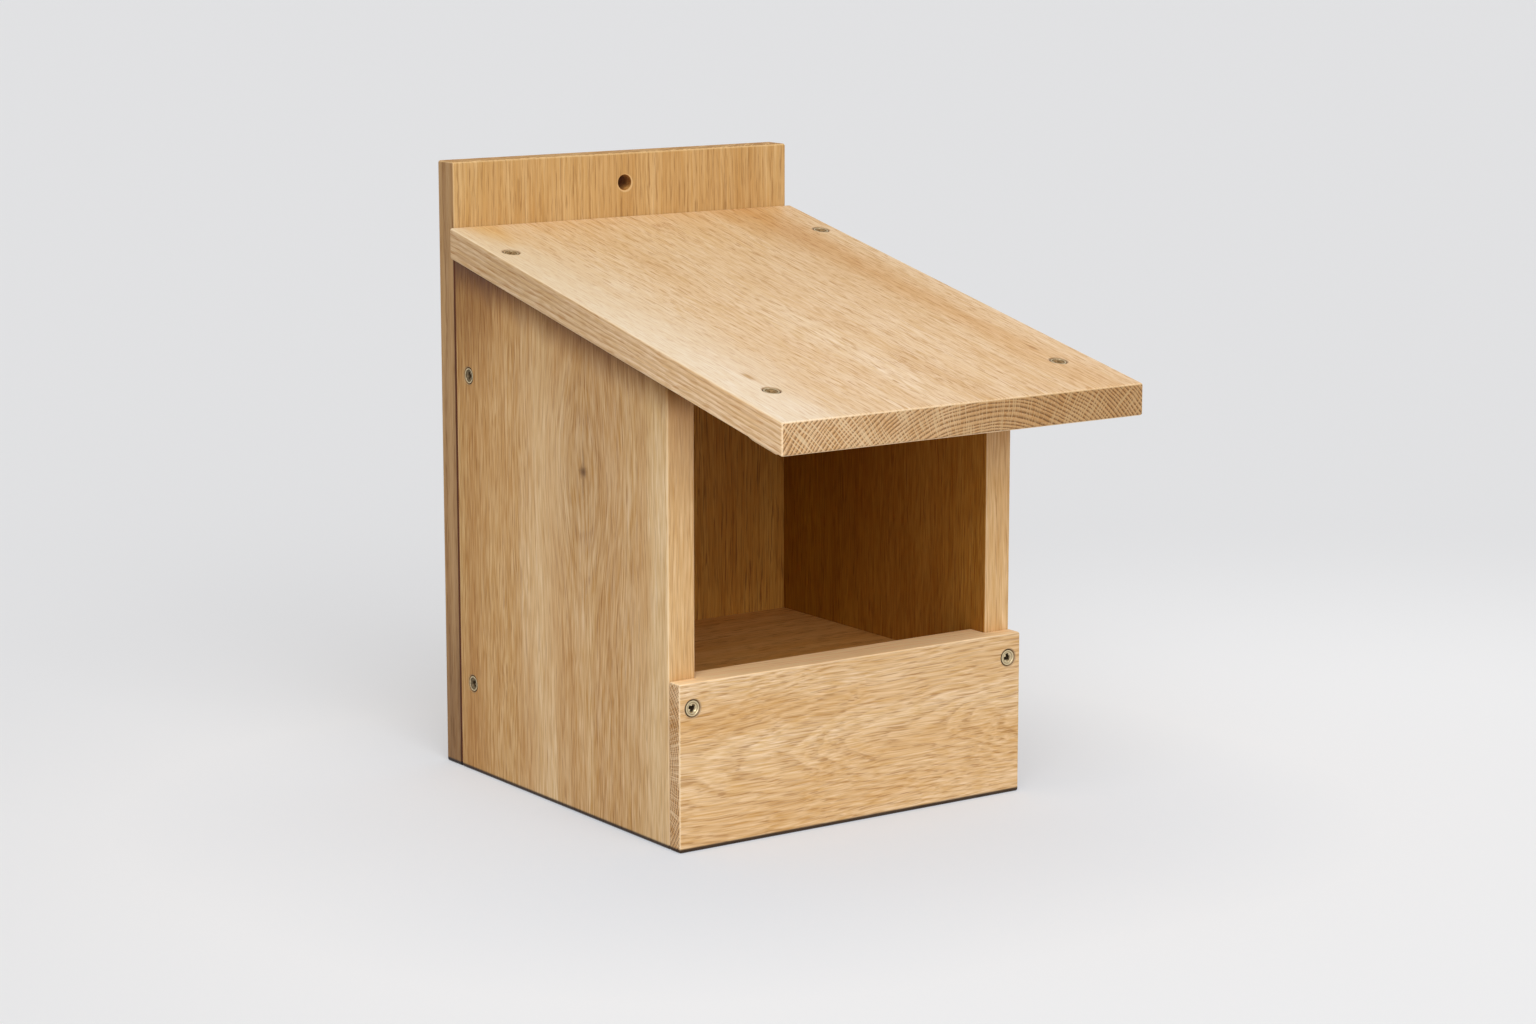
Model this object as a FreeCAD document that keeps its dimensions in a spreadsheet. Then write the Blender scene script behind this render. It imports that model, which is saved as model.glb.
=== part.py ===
import FreeCAD, Part
import os
import re
import Sketcher

# Open-fronted nest box in planed oak, in millimetres and degrees.
# Box frame: the wall is the plane y = 0, the front faces -Y, the box stands on z = 0, the middle is x = 0.
# Roof frame: its origin is the middle of the roof's top rear edge, y runs up the slope and z is square to it.
# Both frames are then placed so that the part's origin is the hanging hole's axis on the wall.
sizes = {
    # Boards
    "box_width": 200,
    "back_height": 305,
    "back_thickness": 15,
    "side_depth": 190,
    "side_thickness": 15,
    "panel_thickness": 20,
    "floor_thickness": 15,
    "floor_top": 63,
    "housing_depth": 5,
    "front_height": 80,
    "front_lip": 9,
    "front_tongue": 11,
    "hanger_height": 32,
    "roof_slope": 12,
    "roof_thickness": 15,
    "roof_overhang": 2.5,
    "eaves": 96,
    "batten_width": 25,
    "batten_thickness": 12,
    "batten_inset": 12,
    "batten_bevel": 6,
    "batten_chamfer": 3,
    "batten_setback": 38,
    "arris_radius": 1.2,
    "fit_gap": 0.1,
    # Hanging hole
    "hole_diameter": 8,
    "hole_drop": 15,
    # Countersunk screws
    "screw_diameter": 4,
    "head_diameter": 8,
    "head_angle": 90,
    "head_rim": 0.3,
    "head_sink": 0.3,
    "point_length": 5,
    "point_diameter": 0.8,
    "screw_gap": 0.1,
    # Screw places
    "edge_bite": 21,
    "panel_bite": 14,
    "batten_bite": 8,
    "front_screw_drop": 12,
    "side_screw_setback": 12,
    "side_screw_drop": 57,
    "side_screw_height": 45,
    "roof_screw_setback": 43,
    "batten_screw_inset": 6,
    "hanger_screw_inset": 50,
    "hanger_screw_low": 90,
    "hanger_screw_drop": 75,
}

# Formulas that several pieces share
half_width = "(box_width / 2)"
half_inner = "(box_width / 2 - side_thickness)"
side_middle = "((box_width - side_thickness) / 2)"
hole_height = "(back_height - hole_drop)"
side_front = "(back_thickness + side_depth)"
front_face = "(back_thickness + side_depth + front_lip)"
panel_front = "(back_thickness + panel_thickness)"
tongue_rear = "(back_thickness + side_depth - front_tongue)"
roof_top = "(back_height - hanger_height)"
roof_plumb = "(roof_thickness / cos(roof_slope))"
roof_length = "(side_depth / cos(roof_slope) + eaves)"
batten_middle = f"({roof_length} - batten_setback)"
half_batten = "(box_width / 2 - batten_inset)"
head_depth = "((head_diameter - screw_diameter) / 2 / tan(head_angle / 2))"
sink_diameter = "(head_diameter + 2 * screw_gap + 2 * (head_rim + head_sink) * tan(head_angle / 2))"
screw_hole = "(screw_diameter + 2 * screw_gap)"

# How a sketch numbers its own axes and the points of its lines and circles
sketch_origin = (-1, 1)
start_point = 1
end_point = 2
centre_point = 3

# How close two heights count as the same
same_height = 1e-6

doc = FreeCAD.newDocument("nest_box")
sheet = doc.addObject("Spreadsheet::Sheet", "sheet")
for row, (alias, number) in enumerate(sizes.items(), start=1):
    sheet.set(f"A{row}", alias)
    sheet.set(f"B{row}", str(number))
    sheet.setAlias(f"B{row}", alias)
doc.recompute()


# Points every size named in a formula at its cell
def cells(formula):
    return re.sub(r"[a-z_]+", lambda word: f"sheet.{word[0]}" if word[0] in sizes else word[0], formula)


def value(formula):
    return float(sheet.evalExpression(cells(formula)))


# Height of the roof's underside above the base, at a distance in front of the hanging board
def underside(distance):
    return f"({roof_top} - {roof_plumb} - ({distance}) * tan(roof_slope))"


# The roof frame as seen from the box frame
def tilt_to_roof(item, prop, lowered_by="0"):
    item.setExpression(f"{prop}.Base.y", cells("-back_thickness"))
    item.setExpression(f"{prop}.Base.z", cells(f"{roof_top} - {lowered_by}"))
    item.setExpression(f"{prop}.Rotation.Angle", cells("roof_slope"))


def new_body(label):
    body = doc.addObject("PartDesign::Body", label)
    body.Label = label
    body.setExpression("Placement.Base.z", cells(f"-{hole_height}"))
    return body


def new_roof_body(label):
    body = new_body(label)
    body.Placement.Rotation = FreeCAD.Rotation(FreeCAD.Vector(1, 0, 0), value("roof_slope"))
    tilt_to_roof(body, "Placement", lowered_by=hole_height)
    return body


def origin_feature(body, role):
    return next(item for item in body.Origin.OriginFeatures if item.Role == role)


# A sketch on one of the body's own planes, moved along the plane's normal
def new_sketch(body, name, plane, along_normal="0"):
    sketch = body.newObject("Sketcher::SketchObject", name)
    sketch.AttachmentSupport = [(origin_feature(body, plane), "")]
    sketch.MapMode = "FlatFace"
    sketch.setExpression("AttachmentOffset.Base.z", cells(along_normal))
    return sketch


def hold_point(sketch, geometry, point, x, y):
    for kind, formula in (("DistanceX", x), ("DistanceY", y)):
        distance = Sketcher.Constraint(kind, *sketch_origin, geometry, point, value(formula))
        held = sketch.addConstraint(distance)
        sketch.setExpression(f"Constraints[{held}]", cells(formula))


# A closed outline of straight lines, each corner held at its two formulas
def draw_outline(sketch, corners):
    points = [FreeCAD.Vector(value(x), value(y), 0) for x, y in corners]
    following = points[1:] + points[:1]
    lines = sketch.addGeometry([Part.LineSegment(a, b) for a, b in zip(points, following)], False)
    for line, after in zip(lines, lines[1:] + lines[:1]):
        sketch.addConstraint(Sketcher.Constraint("Coincident", line, end_point, after, start_point))
    for line, (x, y) in zip(lines, corners):
        hold_point(sketch, line, start_point, x, y)


def pad(body, sketch, length, both_ways=False):
    feature = body.newObject("PartDesign::Pad", f"{sketch.Name}_pad")
    feature.Profile = sketch
    feature.setExpression("Length", cells(length))
    feature.SideType = "Symmetric" if both_ways else "One side"
    doc.recompute()
    return feature


# Sandpapered arrises on every edge of a board
def ease(body, feature):
    eased = body.newObject("PartDesign::Fillet", f"{body.Name}_eased")
    eased.Base = (feature, [""])
    eased.UseAllEdges = True
    eased.setExpression("Radius", cells("arris_radius"))
    doc.recompute()


def turn_sketch_to_roof(sketch):
    sketch.AttachmentOffset.Rotation = FreeCAD.Rotation(FreeCAD.Vector(1, 0, 0), value("roof_slope"))
    tilt_to_roof(sketch, "AttachmentOffset")


# Round holes bored from a screw group's plane, with a countersink for the head or to a depth for the pilot
def bore(body, name, group, diameter, depth=None, countersink=False, to_roof=False):
    sketch = new_sketch(body, f"{name}_centres", group["plane"], group["along_normal"])
    if to_roof:
        turn_sketch_to_roof(sketch)
    for x, y in group["points"]:
        centre = FreeCAD.Vector(value(x), value(y), 0)
        circle = sketch.addGeometry(Part.Circle(centre, FreeCAD.Vector(0, 0, 1), value(diameter) / 2), False)
        hold_point(sketch, circle, centre_point, x, y)
        size = sketch.addConstraint(Sketcher.Constraint("Diameter", circle, value(diameter)))
        sketch.setExpression(f"Constraints[{size}]", cells(diameter))
    doc.recompute()
    before = body.Shape.Volume
    hole = body.newObject("PartDesign::Hole", name)
    hole.Profile = sketch
    hole.Reversed = group["driven_along_normal"]
    doc.recompute()
    hole.ThreadType = "None"
    hole.setExpression("Diameter", cells(diameter))
    hole.DepthType = "Dimension" if depth else "ThroughAll"
    if depth:
        hole.DrillPoint = "Flat"
        hole.setExpression("Depth", cells(depth))
    if countersink:
        hole.HoleCutType = "Countersink"
        hole.HoleCutCustomValues = True
        hole.setExpression("HoleCutCountersinkAngle", cells("head_angle"))
        hole.setExpression("HoleCutDiameter", cells(sink_diameter))
    doc.recompute()
    if body.Shape.Volume >= before:
        raise ValueError(f"{name} cuts nothing out of {body.Label}")


def bore_for_head(body, name, group):
    bore(body, name, group, screw_hole, countersink=True)


def screw_length(group):
    return f"({group['through']} + {group['bite']})"


def bore_pilot(body, name, group, points=None, to_roof=False):
    own = dict(group, points=points or group["points"])
    bore(body, name, own, screw_hole, depth=f"{screw_length(group)} + screw_gap", to_roof=to_roof)


# One screw, turned about its sketch's upright, which is itself turned to the way that the screw is driven
def turn_screw(body, plane, head_centre, group):
    sketch = new_sketch(body, f"{body.Name}_profile", plane, head_centre[2])
    sketch.AttachmentOffset.Rotation = FreeCAD.Rotation(FreeCAD.Vector(0, 0, 1), group["sketch_turn"])
    sketch.setExpression("AttachmentOffset.Base.x", cells(head_centre[0]))
    sketch.setExpression("AttachmentOffset.Base.y", cells(head_centre[1]))
    length = screw_length(group)
    draw_outline(sketch, [
        ("0", "head_sink"),
        ("head_diameter / 2", "head_sink"),
        ("head_diameter / 2", "head_sink + head_rim"),
        ("screw_diameter / 2", f"head_sink + head_rim + {head_depth}"),
        ("screw_diameter / 2", f"{length} - point_length"),
        ("point_diameter / 2", length),
        ("0", length),
    ])
    turned = body.newObject("PartDesign::Revolution", f"{body.Name}_turned")
    turned.Profile = sketch
    turned.ReferenceAxis = (sketch, ["V_Axis"])
    doc.recompute()
    return turned


# The same screw on the other side of the box
def mirror_across(body, turned):
    pair = body.newObject("PartDesign::Mirrored", f"{body.Name}_pair")
    pair.Originals = [turned]
    pair.MirrorPlane = (origin_feature(body, "YZ_Plane"), [""])
    body.Tip = pair
    doc.recompute()


# The same screws once more, higher up
def repeat_above(body, originals, distance):
    rows = body.newObject("PartDesign::LinearPattern", f"{body.Name}_rows")
    rows.Originals = originals
    rows.Direction = (origin_feature(body, "Z_Axis"), [""])
    rows.Occurrences = 2
    rows.setExpression("Length", cells(distance))
    body.Tip = rows
    doc.recompute()


# Screw groups: the plane that their heads lie in, their places on it, the turn of a screw's own sketch,
# the board that they pass and the depth that they bite
front_group = {
    "plane": "XZ_Plane",
    "along_normal": front_face,
    "driven_along_normal": False,
    "points": [(f"{side} * {side_middle}", "front_height - front_screw_drop") for side in (-1, 1)],
    "sketch_turn": 0,
    "through": "front_lip",
    "bite": "edge_bite",
}
side_screw_top = f"({underside('0')} - side_screw_drop)"
left_group = {
    "plane": "YZ_Plane",
    "along_normal": f"-{half_width}",
    "driven_along_normal": True,
    "points": [
        ("-back_thickness - side_screw_setback", height)
        for height in ("side_screw_height", side_screw_top)
    ],
    "sketch_turn": -90,
    "through": "side_thickness",
    "bite": "edge_bite",
}
right_group = dict(left_group, along_normal=half_width, driven_along_normal=False, sketch_turn=90)
hanger_screw_top = f"({underside('0')} - hanger_screw_drop)"
hanger_group = {
    "plane": "XZ_Plane",
    "along_normal": "0",
    "driven_along_normal": True,
    "points": [
        (f"{side} * hanger_screw_inset", height)
        for side in (-1, 1)
        for height in ("hanger_screw_low", hanger_screw_top)
    ],
    "sketch_turn": 180,
    "through": "back_thickness",
    "bite": "panel_bite",
}
roof_rear_group = {
    "plane": "XY_Plane",
    "along_normal": "0",
    "driven_along_normal": False,
    "points": [(f"{side} * {side_middle}", "-roof_screw_setback") for side in (-1, 1)],
    "sketch_turn": 180,
    "through": "roof_thickness",
    "bite": "edge_bite",
}
roof_front_group = dict(
    roof_rear_group,
    points=[(f"{side} * ({half_batten} - batten_screw_inset)", f"-{batten_middle}") for side in (-1, 1)],
    bite="batten_bite",
)


def make_hanging_board():
    body = new_body("hanging_board")
    sketch = new_sketch(body, "hanging_board_face", "XZ_Plane")
    draw_outline(sketch, [
        (f"-{half_width}", "0"),
        (half_width, "0"),
        (half_width, "back_height"),
        (f"-{half_width}", "back_height"),
    ])
    ease(body, pad(body, sketch, "back_thickness"))
    hanging_hole = {
        "plane": "XZ_Plane",
        "along_normal": "0",
        "driven_along_normal": True,
        "points": [("0", hole_height)],
    }
    bore(body, "hanging_hole", hanging_hole, "hole_diameter")
    bore_for_head(body, "hanging_board_screw_holes", hanger_group)
    return body


# The inner back stands between the sides, its top bevelled to the roof
def make_back_panel():
    body = new_body("back_panel")
    sketch = new_sketch(body, "back_panel_section", "YZ_Plane")
    draw_outline(sketch, [
        (f"-{panel_front}", "0"),
        ("-back_thickness", "0"),
        ("-back_thickness", underside("0")),
        (f"-{panel_front}", underside("panel_thickness")),
    ])
    pad(body, sketch, f"2 * ({half_inner} - fit_gap)", both_ways=True)
    bore_pilot(body, "left_edge_pilots", left_group)
    bore_pilot(body, "right_edge_pilots", right_group)
    bore_pilot(body, "rear_pilots", hanger_group)
    return body


# A side board, its housing for the floor open at the front and stopped at the inner back
def make_side(label, group, inner_face, side):
    body = new_body(label)
    start = f"-{half_width}" if side < 0 else half_inner
    sketch = new_sketch(body, f"{label}_face", "YZ_Plane", start)
    draw_outline(sketch, [
        (f"-{side_front}", "0"),
        ("-back_thickness", "0"),
        ("-back_thickness", underside("0")),
        (f"-{side_front}", underside("side_depth")),
    ])
    ease(body, pad(body, sketch, "side_thickness"))
    housing_sketch = new_sketch(body, f"{label}_housing", "YZ_Plane", inner_face)
    draw_outline(housing_sketch, [
        (f"-{side_front}", "floor_top - floor_thickness - fit_gap"),
        (f"-{panel_front}", "floor_top - floor_thickness - fit_gap"),
        (f"-{panel_front}", "floor_top + fit_gap"),
        (f"-{side_front}", "floor_top + fit_gap"),
    ])
    before = body.Shape.Volume
    housing = body.newObject("PartDesign::Pocket", f"{label}_housing_cut")
    housing.Profile = housing_sketch
    housing.setExpression("Length", cells("housing_depth"))
    housing.Reversed = side > 0
    doc.recompute()
    if body.Shape.Volume >= before:
        raise ValueError(f"the housing cuts nothing out of {label}")
    bore_for_head(body, f"{label}_screw_holes", group)
    own = 0 if side < 0 else 1
    front_points = [front_group["points"][own]]
    roof_points = [roof_rear_group["points"][own]]
    bore_pilot(body, f"{label}_front_pilot", front_group, points=front_points)
    bore_pilot(body, f"{label}_roof_pilot", roof_rear_group, points=roof_points, to_roof=True)
    return body


def make_floor_board():
    body = new_body("floor_board")
    sketch = new_sketch(body, "floor_board_face", "XY_Plane", "floor_top - floor_thickness")
    half_floor = f"({half_inner} + housing_depth - fit_gap)"
    draw_outline(sketch, [
        (f"-{half_floor}", f"-{tongue_rear} + fit_gap"),
        (half_floor, f"-{tongue_rear} + fit_gap"),
        (half_floor, f"-{panel_front} - fit_gap"),
        (f"-{half_floor}", f"-{panel_front} - fit_gap"),
    ])
    pad(body, sketch, "floor_thickness")
    return body


# The front board's ends are rebated: a lip laps the sides' front edges and a tongue stands between the sides
def make_front_board():
    body = new_body("front_board")
    sketch = new_sketch(body, "front_board_plan", "XY_Plane")
    half_tongue = f"({half_inner} - fit_gap)"
    draw_outline(sketch, [
        (f"-{half_width}", f"-{front_face}"),
        (half_width, f"-{front_face}"),
        (half_width, f"-{side_front}"),
        (half_tongue, f"-{side_front}"),
        (half_tongue, f"-{tongue_rear}"),
        (f"-{half_tongue}", f"-{tongue_rear}"),
        (f"-{half_tongue}", f"-{side_front}"),
        (f"-{half_width}", f"-{side_front}"),
    ])
    ease(body, pad(body, sketch, "front_height"))
    bore_for_head(body, "front_board_screw_holes", front_group)
    return body


# The roof's two ends are plumb once it lies on its slope
def make_roof_board():
    body = new_roof_body("roof_board")
    sketch = new_sketch(body, "roof_board_section", "YZ_Plane")
    lean = "roof_thickness * tan(roof_slope)"
    draw_outline(sketch, [
        ("0", "0"),
        (f"-{roof_length}", "0"),
        (f"-{roof_length} - {lean}", "-roof_thickness"),
        (f"-{lean}", "-roof_thickness"),
    ])
    ease(body, pad(body, sketch, "box_width + 2 * roof_overhang", both_ways=True))
    bore_for_head(body, "roof_rear_screw_holes", roof_rear_group)
    bore_for_head(body, "roof_front_screw_holes", roof_front_group)
    return body


# The batten under the eaves, its ends bevelled and its lower long edges chamfered
def make_roof_batten():
    body = new_roof_body("roof_batten")
    sketch = new_sketch(body, "roof_batten_face", "XZ_Plane", f"{batten_middle} - batten_width / 2")
    bevel_top = "-roof_thickness - batten_thickness + batten_bevel"
    lower_edge = "-roof_thickness - batten_thickness"
    draw_outline(sketch, [
        (f"-{half_batten}", "-roof_thickness"),
        (f"-{half_batten}", bevel_top),
        (f"-{half_batten} + batten_bevel", lower_edge),
        (f"{half_batten} - batten_bevel", lower_edge),
        (half_batten, bevel_top),
        (half_batten, "-roof_thickness"),
    ])
    block = pad(body, sketch, "batten_width")
    lowest = value(lower_edge)
    long_edges = [
        f"Edge{number}"
        for number, edge in enumerate(block.Shape.Edges, start=1)
        if all(abs(corner.Z - lowest) < same_height for corner in edge.Vertexes)
        and abs(edge.Vertexes[0].Y - edge.Vertexes[1].Y) < same_height
    ]
    chamfered = body.newObject("PartDesign::Chamfer", "roof_batten_chamfered")
    chamfered.Base = (block, long_edges)
    chamfered.setExpression("Size", cells("batten_chamfer"))
    doc.recompute()
    bore_pilot(body, "roof_batten_pilots", roof_front_group)
    return body


def make_front_screws():
    body = new_body("front_screws")
    x, z = front_group["points"][1]
    mirror_across(body, turn_screw(body, "XY_Plane", (x, f"-{front_face}", z), front_group))
    return body


def make_side_screws(label, group):
    body = new_body(label)
    y, z = group["points"][0]
    turned = turn_screw(body, "XY_Plane", (group["along_normal"], y, z), group)
    repeat_above(body, [turned], f"{side_screw_top} - side_screw_height")
    return body


def make_hanging_board_screws():
    body = new_body("hanging_board_screws")
    lower_pair = [
        turn_screw(body, "XY_Plane", (x, "0", z), hanger_group)
        for x, z in hanger_group["points"]
        if z == "hanger_screw_low"
    ]
    repeat_above(body, lower_pair, f"{hanger_screw_top} - hanger_screw_low")
    return body


def make_roof_screws(label, group):
    body = new_roof_body(label)
    x, y = group["points"][1]
    mirror_across(body, turn_screw(body, "XZ_Plane", (x, "0", f"-({y})"), group))
    return body


pieces = [
    make_hanging_board(),
    make_back_panel(),
    make_side("left_side", left_group, f"-{half_inner}", -1),
    make_side("right_side", right_group, half_inner, 1),
    make_floor_board(),
    make_front_board(),
    make_roof_board(),
    make_roof_batten(),
    make_front_screws(),
    make_side_screws("left_side_screws", left_group),
    make_side_screws("right_side_screws", right_group),
    make_hanging_board_screws(),
    make_roof_screws("roof_rear_screws", roof_rear_group),
    make_roof_screws("roof_front_screws", roof_front_group),
]
doc.recompute()

for item in doc.Objects:
    if "Invalid" in item.State or "Error" in item.State:
        raise ValueError(f"{item.Label} failed: {item.State}")
for piece in pieces:
    if piece.Shape.isNull() or not piece.Shape.isValid():
        raise ValueError(f"{piece.Label} has no valid shape")

os.makedirs("parts", exist_ok=True)
for piece in pieces:
    piece.Shape.exportStep(f"parts/{piece.Label}.step")
    box = piece.Shape.BoundBox
    reach = f"x {box.XMin:.1f} {box.XMax:.1f} y {box.YMin:.1f} {box.YMax:.1f} z {box.ZMin:.1f} {box.ZMax:.1f}"
    print(piece.Label, len(piece.Shape.Solids), "solids", f"{piece.Shape.Volume:.0f} mm3", reach)
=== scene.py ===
import math

import bmesh
import bpy
import numpy as np
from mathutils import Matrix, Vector


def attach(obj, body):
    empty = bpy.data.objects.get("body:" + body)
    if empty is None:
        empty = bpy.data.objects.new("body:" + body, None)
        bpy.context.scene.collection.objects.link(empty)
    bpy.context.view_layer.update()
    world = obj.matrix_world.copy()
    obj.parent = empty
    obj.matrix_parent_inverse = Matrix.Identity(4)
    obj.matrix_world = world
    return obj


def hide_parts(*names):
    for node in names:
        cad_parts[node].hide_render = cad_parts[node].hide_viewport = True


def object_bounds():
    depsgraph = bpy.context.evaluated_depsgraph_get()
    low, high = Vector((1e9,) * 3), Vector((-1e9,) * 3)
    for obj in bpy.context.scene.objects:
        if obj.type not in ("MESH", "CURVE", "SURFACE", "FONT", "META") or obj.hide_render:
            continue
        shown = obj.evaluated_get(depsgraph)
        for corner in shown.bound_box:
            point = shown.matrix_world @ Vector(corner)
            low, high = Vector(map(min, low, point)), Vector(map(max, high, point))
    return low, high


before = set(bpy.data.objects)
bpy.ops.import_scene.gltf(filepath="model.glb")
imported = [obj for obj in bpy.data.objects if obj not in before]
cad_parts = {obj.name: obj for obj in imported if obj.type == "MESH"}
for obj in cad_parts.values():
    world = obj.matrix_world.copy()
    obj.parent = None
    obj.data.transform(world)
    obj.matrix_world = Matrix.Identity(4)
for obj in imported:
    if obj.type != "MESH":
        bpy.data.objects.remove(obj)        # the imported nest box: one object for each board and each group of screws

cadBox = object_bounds()
mm = 0.001               # sizes below are in millimetres, the scene is in metres
print("frame loaded:", len(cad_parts), "nodes")

fromLimits = ("From Min", "From Max")    # pairs of inputs that turn one range of values into another
toLimits = ("To Min", "To Max")
softly = {"interpolation_type": "SMOOTHSTEP"}    # a range that starts and stops gently
noiseMiddle = 0.5
noiseSpread = (0.3, 0.7)                 # where nearly all of a noise's values lie


def hexToLinear(text):
    # by the sRGB curve
    channels = [int(text[i:i + 2], 16) / 255 for i in (1, 3, 5)]
    linear = [v / 12.92 if v <= 0.04045 else ((v + 0.055) / 1.055) ** 2.4 for v in channels]
    return (*linear, 1.0)


def addNode(tree, kind, inputs=None, **settings):
    # A kind with no Node in its name is a shader node. An input takes a value, a socket, a node for its
    # first output in use, or a list of these. A pair of inputs takes a pair of values.
    node = tree.nodes.new(kind if "Node" in kind else "ShaderNode" + kind)
    for name, value in settings.items():
        setattr(node, name, value)
    sources = []
    for key, value in (inputs or {}).items():
        if isinstance(key, tuple):
            sources += zip(key, value)
        elif isinstance(value, list):
            sources += [(key, part) for part in value]
        else:
            sources.append((key, value))
    for key, source in sources:
        if isinstance(source, bpy.types.Node):
            source = next(output for output in source.outputs if output.enabled)
        if isinstance(source, bpy.types.NodeSocket):
            tree.links.new(source, node.inputs[key])
        else:
            node.inputs[key].default_value = source
    return node


def newGroup(name, kind, inputs, outputs):
    # inputs and outputs are the labels of each type of socket
    tree = bpy.data.node_groups.new(name, kind)
    for side, sockets in (("INPUT", inputs), ("OUTPUT", outputs)):
        for socketType, labels in sockets.items():
            for label in labels:
                tree.interface.new_socket(label, in_out=side, socket_type="NodeSocket" + socketType)
    return tree


def newMaterial(name):
    material = bpy.data.materials.new(name)
    material.use_nodes = True
    material.node_tree.nodes.clear()
    return material, material.node_tree


# Camera: the photograph's viewing angle, worked out for a 1536 x 1024 frame
camera = {
    "place": (-986.6, -1551.9, 165.3),   # from the hanging hole
    "turnRight": 34.98,                  # degrees from looking straight at the wall
    "lookDown": 10.41,
    "focalPixels": 3600,
    "framePixels": 1536,
    "sensor": 36.0,
    "farLimit": 200,                     # metres
}


def placeCamera(view):
    data = bpy.data.cameras.new("photoCamera")
    data.sensor_width = view["sensor"]
    data.lens = view["focalPixels"] * view["sensor"] / view["framePixels"]
    data.clip_end = view["farLimit"]
    eye = bpy.data.objects.new("photoCamera", data)
    eye.location = Vector(view["place"]) * mm
    eye.rotation_euler = (math.radians(90 - view["lookDown"]), 0, math.radians(-view["turnRight"]))
    bpy.context.scene.collection.objects.link(eye)
    bpy.context.scene.camera = eye


placeCamera(camera)

# Light and floor: one broad soft lamp from the front left, an even sky and a pale matt floor
studio = {
    "lampFrom": (-0.33, -0.72, 0.61),    # towards the lamp
    "lampLevel": 0.72,                   # share of a plain level
    "lampWidth": 65,                     # degrees that the lamp fills, for soft shadows
    "skyLevel": 0.43,
    "skyColour": "#FFFFFF",
    "backdrop": "#E4E5E7",
    "floor": "#F8F8F9",
    "floorRoughness": 0.9,
    "floorSheen": 0.1,
    "floorHalf": 40,                     # metres, like the places and distances below
    "glowNear": "#F9F9FA",               # paleness that only the eye sees in the floor
    "glowFar": "#CCCDD0",
    "glowShare": 0.3,
    "glowCentre": (0.15, -0.45, -0.29),  # from the hanging hole
    "glowReach": (0.35, 0.90),           # from near to far
    "footCentre": (-0.03, -0.167, -0.29),
    "footHalf": (0.07, 0.047, 0.0),      # half the size of a patch under the box's front left corner
    "footReach": (0.22, 0.0),            # round that patch the floor is a little darker and cooler
    "footShade": "#ECF0F5",
}


def seenByEye(tree):
    # 1 for what the camera sees, straight, in a reflection or through glass
    path = addNode(tree, "LightPath").outputs
    seen = path["Is Camera Ray"]
    for ray in ("Is Glossy Ray", "Is Transmission Ray"):
        seen = addNode(tree, "Math", {0: seen, 1: path[ray]}, operation="MAXIMUM")
    return seen


def lightStudio(look):
    sun = bpy.data.lights.new("softLamp", "SUN")
    sun.energy = math.pi * look["lampLevel"]
    sun.angle = math.radians(look["lampWidth"])
    lamp = bpy.data.objects.new("softLamp", sun)
    lamp.rotation_euler = Vector(look["lampFrom"]).to_track_quat("Z", "Y").to_euler()
    bpy.context.scene.collection.objects.link(lamp)

    world = bpy.data.worlds.new("paleStudio")
    bpy.context.scene.world = world
    world.use_nodes = True
    tree = world.node_tree
    tree.nodes.clear()
    sky = addNode(
        tree, "Background", {"Color": hexToLinear(look["skyColour"]), "Strength": look["skyLevel"]})
    back = addNode(tree, "Background", {"Color": hexToLinear(look["backdrop"]), "Strength": 1.0})
    mix = addNode(tree, "MixShader", {0: seenByEye(tree), 1: sky, 2: back})
    addNode(tree, "OutputWorld", {"Surface": mix})


def layFloor(look):
    half = look["floorHalf"]
    base = cadBox[0].z
    mesh = bpy.data.meshes.new("studioFloor")
    corners = [(-half, -half, base), (half, -half, base), (half, half, base), (-half, half, base)]
    mesh.from_pydata(corners, [], [(0, 1, 2, 3)])
    floor = bpy.data.objects.new("studioFloor", mesh)
    bpy.context.scene.collection.objects.link(floor)

    # Matt white board: no gloss, whiter to the eye near the box, with a soft cool shade at its foot
    material, tree = newMaterial("mattWhiteBoard")
    place = addNode(tree, "TexCoord").outputs["Object"]
    far = addNode(tree, "VectorMath", {0: place, 1: look["glowCentre"]}, operation="DISTANCE")
    fade = addNode(tree, "MapRange", {"Value": far, fromLimits: look["glowReach"]}, **softly)
    tint = addNode(
        tree, "Mix", {"Factor": fade, "A": hexToLinear(look["glowNear"]), "B": hexToLinear(look["glowFar"])},
        data_type="RGBA")
    away = addNode(tree, "VectorMath", {0: place, 1: look["footCentre"]}, operation="SUBTRACT")
    away = addNode(tree, "VectorMath", {0: away}, operation="ABSOLUTE")
    away = addNode(tree, "VectorMath", {0: away, 1: look["footHalf"]}, operation="SUBTRACT")
    away = addNode(tree, "VectorMath", {0: away, 1: (0, 0, 0)}, operation="MAXIMUM")
    away = addNode(tree, "VectorMath", {0: away}, operation="LENGTH")
    foot = addNode(tree, "MapRange", {"Value": away, fromLimits: look["footReach"]})
    shaded = []
    for colour in (hexToLinear(look["floor"]), tint):
        shaded.append(addNode(
            tree, "Mix", {"Factor": foot, "A": colour, "B": hexToLinear(look["footShade"])},
            data_type="RGBA", blend_type="MULTIPLY"))
    white, glowing = shaded
    board = addNode(
        tree, "BsdfPrincipled",
        {"Base Color": white, "Roughness": look["floorRoughness"], "Specular IOR Level": look["floorSheen"]})
    glow = addNode(tree, "Emission", {"Color": glowing})
    share = addNode(tree, "Math", {0: seenByEye(tree), 1: look["glowShare"]}, operation="MULTIPLY")
    floorLook = addNode(tree, "MixShader", {0: share, 1: board, 2: glow})
    addNode(tree, "OutputMaterial", {"Surface": floorLook})
    mesh.materials.append(material)


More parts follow.
